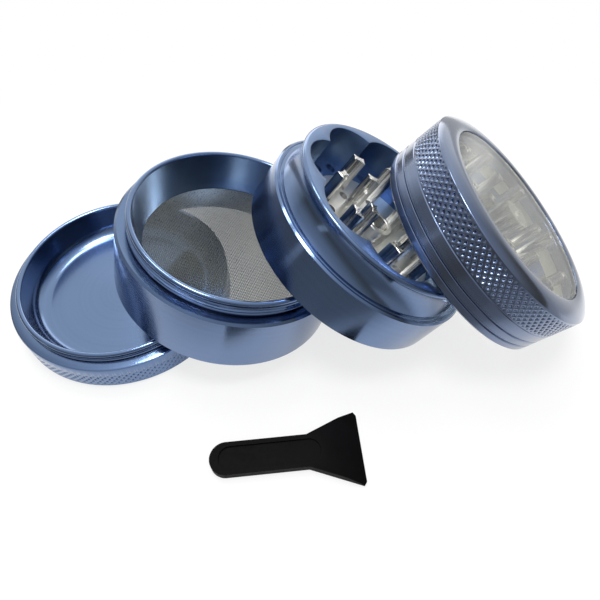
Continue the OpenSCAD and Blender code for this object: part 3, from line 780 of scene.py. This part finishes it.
class GRINDER_OT_window(Builds, bpy.types.Operator):
    """Clear stepped disc held under the bezel"""

    bl_idname = "grinder.window"
    bl_label = "Window"

    def execute(self, context):
        low, step, high, deep, shape = 13.1 * MM, 16.08 * MM, 16.6 * MM, 1.52 * MM, Patches()
        wide, narrow, hole = 26.58 * MM, 25.48 * MM, circle(0, 0, 0.82 * MM, 16)
        holes = [*ringed(hole, *LID_TEETH[0], LID_TURN), *ringed(hole, *LID_TEETH[1], LID_TURN), hole]
        shape.flat([circle(0, 0, wide, 192), *holes], low)
        for outline in holes:
            shape.wall(outline, low, low + deep)
            shape.flat([outline], low + deep)
        shape.revolve([([(wide, low), (wide, step), (narrow, step), (narrow, 16.45 * MM), (25.33 * MM, high),
                         (0, high)], None)], columns=192)
        make_piece("clear_disc", shape, "lid", ["lid_window"], [clear_finish()])
        return {"FINISHED"}


class GRINDER_OT_lid_teeth(Builds, bpy.types.Operator):
    """Bare teeth and centre post that hang from the window, and the post's magnet"""

    bl_idname = "grinder.lid_teeth"
    bl_label = "Lid teeth"

    def execute(self, context):
        tip, deep, pin_top = 1.4 * MM, 3.4 * MM, 14.6 * MM
        pin_r, post_r, bore = 0.8 * MM, 4.2 * MM, 3 * MM
        # A gain of 1.2 makes the lid's teeth paler than the plate's: painted light on the teeth seen through
        # the window.
        bare = machined("lid_machined_painted_light", 1.2, 0.12, "lid")
        for name, node, (count, radius), long in (
                ("outer_lid_teeth", "lid_outer_teeth", LID_TEETH[0], 3.9 * MM),
                ("inner_lid_teeth", "lid_inner_teeth", LID_TEETH[1], 2.4 * MM)):
            shape = Patches()
            for tooth, pin in zip(ringed(tooth_outline(long, TOOTH_WIDE), count, radius, LID_TURN),
                                  ringed(circle(0, 0, pin_r, 16), count, radius, LID_TURN)):
                shape.flat([tooth, pin], LID_SEAT)
                shape.wall(pin, LID_SEAT, pin_top)
                shape.flat([pin], pin_top)
                shape.post(tooth, LID_SEAT, tip, sizes().edge)
            make_piece(name, shape, "lid", [node], [bare])
        shape = Patches()
        shape.revolve([([(0, pin_top), (pin_r, pin_top), (pin_r, LID_SEAT), (post_r, LID_SEAT),
                         (post_r, 1.65 * MM), (3.95 * MM, tip), (3.1 * MM, tip), (bore, 1.5 * MM),
                         (bore, deep), (0, deep)], None)], columns=64)
        make_piece("lid_centre_post", shape, "lid", ["lid_post"], [bare])
        disc = Patches()
        disc.revolve([([(0, 1.42 * MM), (2.8 * MM, 1.42 * MM), (MAGNET_R, 1.6 * MM), (MAGNET_R, 3.38 * MM),
                        (0, 3.38 * MM)], None)], columns=64)
        make_piece("upper_magnet", disc, "lid", ["lid_magnet"], [nickel()])
        return {"FINISHED"}


class GRINDER_OT_friction_ring(Builds, bpy.types.Operator):
    """Nylon sleeve that the lid turns on"""

    bl_idname = "grinder.friction_ring"
    bl_label = "Friction ring"

    def execute(self, context):
        near, far, low, high, cut = 28.6 * MM, 29.8 * MM, 5.5 * MM, 9.3 * MM, 0.15 * MM
        shape = Patches()
        shape.revolve([([(near, low + cut), (near + cut, low), (far - cut, low), (far, low + cut),
                         (far, high - cut), (far - cut, high), (near + cut, high), (near, high - cut),
                         (near, low + cut)], None)], columns=192)
        make_piece("friction_sleeve", shape, "friction_sleeve", ["friction_ring"],
                   [plain_finish("nylon", colours().nylon, 0.42, grain=900.0, bump=0.06)])
        return {"FINISHED"}


class GRINDER_OT_scraper(Builds, bpy.types.Operator):
    """Flat scraper with a bare recessed panel and a chisel blade"""

    bl_idname = "grinder.scraper"
    bl_label = "Scraper"

    def execute(self, context):
        half, thick, edge, sunk = 4.1 * MM, 2.6 * MM, 0.5 * MM, 0.5 * MM
        neck, start, widest, end, wide = 24.5 * MM, 33.1 * MM, 37.4 * MM, 38.1 * MM, 9.4 * MM
        y = half + (wide - half) * (start - neck) / (widest - neck)
        side, round_end = np.array([(neck, -half), (start, -y)]), arc(half, 0, half, 90, 270, 32)
        blade = np.array([(start, -y), (widest, -wide), (end, -8.5 * MM), (end, 8.5 * MM), (widest, wide),
                          (start, y)])
        back = np.concatenate([side, [(start, y)], [(neck, half)], round_end])
        whole = np.concatenate([side[:1], blade, [(neck, half)], round_end])
        panel = np.concatenate([arc(24.9 * MM, 0, 2.9 * MM, -90, 90, 24),
                                arc(5.1 * MM, 0, 2.9 * MM, 90, 270, 24)])

        def top(x):
            """The handle's thickness, falling in a straight line along the blade to its edge."""
            return np.where(x <= start + 1e-9, thick, thick - (x - start) / (end - start) * (thick - edge))

        shape = Patches()
        shape.flat([back, panel], thick)
        shape.flat([blade], top)
        shape.flat([whole], 0.0)
        shape.flat([panel], thick - sunk)
        shape.wall(panel, thick - sunk, thick)
        shape.wall(whole, 0.0, top(whole[:, 0]))
        a = math.radians(5.5)
        turn = np.array([[math.cos(a), math.sin(a), 0], [-math.sin(a), math.cos(a), 0], [0, 0, 1]])
        shape.points = [p @ turn + [30.6 * MM, -52.8 * MM, 0] for p in shape.points]
        black = plain_finish("black_plastic", colours().plastic, 0.36, grain=1100.0, bump=0.1,
                             patchy=0.2, shine=0.02)
        make_piece("scraper_moulded", shape, "scraper_body", ["scraper"], [black],
                   bevel=0.22 * MM)
        return {"FINISHED"}


# ---------- Stage ----------

TABLE_HALF, TABLE_Z = 3.0, -0.0002
FRONT_EDGE, FAR_CORNER = (0.105, 0.135), (0.06, 0.09)
# Heights in the surroundings, from the horizon at 0, and their brightness
SKY_LEVELS = ((0.0, 0.155), (0.12, 0.165), (0.3, 0.3), (0.42, 0.42), (0.64, 0.5), (0.82, 0.65), (0.94, 1.0),
              (1.0, 1.6))
SWEEP_COLOUR, PANE_COLOUR, WHITE = (1.15, 1.13, 1.08, 1), (2.6, 2.5, 2.35, 1), (1, 1, 1, 1)
LAMP_AIM = (0.05, 0, 0.02)
LAMPS = (  # name, place, width, height and watts
    ("top_softbox", (0.035, -0.03, 0.5), 0.14, 0.14, 1.1),
    ("back_softbox", (-0.035, 0.15, 0.47), 0.11, 0.11, 0.35),
    ("side_strip", (-0.51, -0.20, 0.08), 0.07, 0.3, 0.035),
)
CAMERA_AT, CAMERA_PITCH, CAMERA_ROLL = (0.05322, -0.09209, 0.12501), 54.308, 0.309
SENSOR, IMAGE_PIXELS, FOCAL_PIXELS, SHIFT_Y = 36.0, 600, 497.96, -0.00228


class GRINDER_OT_stage(Builds, bpy.types.Operator):
    """Pale table, soft lamps, surroundings and camera"""

    bl_idname = "grinder.stage"
    bl_label = "Stage"

    def table(self, scene):
        """A pale sheet, white to the camera and through the window, dimmer where metal mirrors it."""
        mesh, far = bpy.data.meshes.new("table_top"), TABLE_HALF
        mesh.from_pydata([(-far, -far, 0), (far, -far, 0), (far, far, 0), (-far, far, 0)], [], [(0, 1, 2, 3)])
        floor = bpy.data.objects.new("table_top", mesh)
        floor.location.z = TABLE_Z
        scene.collection.objects.link(floor)
        material, tree, shader = new_finish("table")
        mesh.materials.append(material)
        link = tree.links.new
        shader.inputs["Base Color"].default_value = (*colours().floor, 1)
        shader.inputs["Roughness"].default_value = 0.7
        shader.inputs["Specular IOR Level"].default_value = 0.1
        path, split = add(tree, "ShaderNodeLightPath"), add(tree, "ShaderNodeSeparateXYZ")
        where = add(tree, "ShaderNodeTexCoord").outputs["Object"]
        link(where, split.inputs[0])

        def away_from(x, y):
            """Distance from a point of the table, with distances along X halved."""
            squeeze = add(tree, "ShaderNodeMapping")
            squeeze.inputs["Location"].default_value = (-0.5 * x, -y, 0.0)
            squeeze.inputs["Scale"].default_value = (0.5, 1.0, 1.0)
            away = add(tree, "ShaderNodeVectorMath", operation="LENGTH")
            link(where, squeeze.inputs[0])
            link(squeeze.outputs[0], away.inputs[0])
            return away.outputs["Value"]

        def mirrored(first, second):
            """The larger of two values, and nothing except in a mirrored look."""
            return calc(tree, "MULTIPLY", calc(tree, "MAXIMUM", first, second), path.outputs["Is Glossy Ray"])

        # The table in front of the layout and at its far right is what the walls and the window mirror
        front, corner = away_from(0.075, 0.06), away_from(0.26, 0.055)
        direct = calc(tree, "MAXIMUM", path.outputs["Is Camera Ray"], path.outputs["Is Transmission Ray"])
        plain = calc(tree, "MULTIPLY", ramp(tree, away_from(0.055, 0.0), 0.06, 0.13, 0.75, 1.0), direct)
        glossy = mirrored(ramp(tree, front, *FRONT_EDGE, 0.5, 1.0), ramp(tree, corner, *FAR_CORNER, 1.0, 0.0))
        side = calc(tree, "MULTIPLY", ramp(tree, split.outputs[0], 0.08, 0.15, 0.76, 0.45),
                    ramp(tree, front, *FRONT_EDGE, 0.0, 1.0))
        fall = mirrored(side, ramp(tree, corner, *FAR_CORNER, 0.38, 0.0))
        glow, mix = add(tree, "ShaderNodeEmission"), add(tree, "ShaderNodeMixShader")
        glow.inputs["Color"].default_value = WHITE
        link(calc(tree, "SUBTRACT", 1.0, fall), glow.inputs["Strength"])
        link(calc(tree, "MAXIMUM", plain, glossy), mix.inputs[0])
        link(shader.outputs[0], mix.inputs[1])
        link(glow.outputs[0], mix.inputs[2])
        link(mix.outputs[0], tree.nodes["Material Output"].inputs[0])

    def surroundings(self, scene):
        """A room that brightens towards overhead, with a pale sweep and a bright pane beyond the far side."""
        world = bpy.data.worlds.new("surroundings")
        scene.world = world
        world.use_nodes = True
        tree = world.node_tree
        link = tree.links.new
        room, path = tree.nodes["Background"], add(tree, "ShaderNodeLightPath")
        split = add(tree, "ShaderNodeSeparateXYZ")
        link(add(tree, "ShaderNodeTexCoord").outputs["Generated"], split.inputs[0])
        x, y, z = split.outputs
        # The angle either way from a bearing just beside the far side
        aside = calc(tree, "ABSOLUTE", calc(tree, "ADD", calc(tree, "ARCTAN2", x, y), 0.05))
        shade = add(tree, "ShaderNodeValToRGB")
        stops = shade.color_ramp.elements
        stops[0].position, stops[1].position = SKY_LEVELS[0][0], SKY_LEVELS[-1][0]
        for at, _ in SKY_LEVELS[1:-1]:
            stops.new(at)
        for stop, (at, level) in zip(sorted(stops, key=lambda e: e.position), SKY_LEVELS):
            cool = min(1, at * 2)
            stop.color = (level, level * (0.88 + 0.14 * cool), level * (0.68 + 0.37 * cool), 1)
        link(z, shade.inputs[0])
        look = blended(tree, ramp(tree, aside, 0.72, 1.25, 1.0, 0.0), shade.outputs[0], SWEEP_COLOUR)
        pane = calc(tree, "MULTIPLY", ramp(tree, aside, 0.38, 0.52, 1.0, 0.0),
                    ramp(tree, z, 0.34, 0.46, 1.0, 0.0))
        link(blended(tree, pane, look, PANE_COLOUR), room.inputs["Color"])
        backdrop, mix = add(tree, "ShaderNodeBackground", Strength=1.0), add(tree, "ShaderNodeMixShader")
        backdrop.inputs["Color"].default_value = WHITE
        direct = calc(tree, "MAXIMUM", path.outputs["Is Camera Ray"], path.outputs["Is Transmission Ray"])
        link(direct, mix.inputs[0])
        link(room.outputs[0], mix.inputs[1])
        link(backdrop.outputs[0], mix.inputs[2])
        link(mix.outputs[0], tree.nodes["World Output"].inputs[0])

    def lamp(self, scene, name, place, wide, tall, power):
        """A soft rectangular lamp turned towards the middle of the layout."""
        data = bpy.data.lights.new(name, "AREA")
        data.shape, data.size, data.size_y, data.energy = "RECTANGLE", wide, tall, power
        lamp = bpy.data.objects.new(name, data)
        lamp.location = place
        lamp.rotation_mode = "QUATERNION"
        lamp.rotation_quaternion = (Vector(LAMP_AIM) - Vector(place)).to_track_quat("-Z", "Y")
        scene.collection.objects.link(lamp)

    def camera(self, scene):
        """A camera that looks down on the layout from the front, rolled a little about its line of sight."""
        pitch, roll = math.radians(CAMERA_PITCH), math.radians(CAMERA_ROLL)
        ahead, right = Vector((0, math.cos(pitch), -math.sin(pitch))), Vector((1, 0, 0))
        down = ahead.cross(right)
        right, down = (math.cos(roll) * right + math.sin(roll) * down,
                       -math.sin(roll) * right + math.cos(roll) * down)
        data = bpy.data.cameras.new("camera")
        data.sensor_width, data.lens, data.shift_y = SENSOR, FOCAL_PIXELS / IMAGE_PIXELS * SENSOR, SHIFT_Y
        data.clip_start = 0.005
        camera = bpy.data.objects.new("camera", data)
        turn = Matrix((right, -down, -ahead)).transposed().to_4x4()
        camera.matrix_world = Matrix.Translation(CAMERA_AT) @ turn
        scene.collection.objects.link(camera)
        scene.camera = camera

    def execute(self, context):
        scene = context.scene
        scene.view_settings.view_transform = "Standard"
        self.table(scene)
        self.surroundings(scene)
        for lamp in LAMPS:
            self.lamp(scene, *lamp)
        self.camera(scene)
        return {"FINISHED"}


STEPS = (GRINDER_OT_stage, GRINDER_OT_catcher, GRINDER_OT_sieve_chamber, GRINDER_OT_screen,
         GRINDER_OT_tooth_chamber, GRINDER_OT_chamber_teeth, GRINDER_OT_lid_ring, GRINDER_OT_window,
         GRINDER_OT_lid_teeth, GRINDER_OT_friction_ring, GRINDER_OT_scraper)


class GRINDER_PT_panel(bpy.types.Panel):
    """Lists the grinder's sizes, colours and pieces"""

    bl_idname = "GRINDER_PT_panel"
    bl_label = "Grinder"
    bl_space_type = "VIEW_3D"
    bl_region_type = "UI"
    bl_category = "Grinder"

    def draw(self, context):
        column = self.layout.column()
        for group in (context.scene.grinder_sizes, context.scene.grinder_colours):
            for name in group.__annotations__:
                column.prop(group, name)
        for step in STEPS:
            column.operator(step.bl_idname)


CLASSES = (GrinderSizes, GrinderColours, *STEPS, GRINDER_PT_panel)


def register():
    """Adds the classes and settings."""
    for cls in CLASSES:
        bpy.utils.register_class(cls)
    bpy.types.Scene.grinder_sizes = PointerProperty(type=GrinderSizes)
    bpy.types.Scene.grinder_colours = PointerProperty(type=GrinderColours)


def unregister():
    """Removes them again."""
    del bpy.types.Scene.grinder_sizes, bpy.types.Scene.grinder_colours
    for cls in reversed(CLASSES):
        bpy.utils.unregister_class(cls)


def main():
    """Builds every piece in order."""
    register()
    for step in STEPS:
        group, name = step.bl_idname.split(".")
        getattr(getattr(bpy.ops, group), name)()


if __name__ == "__main__":
    main()
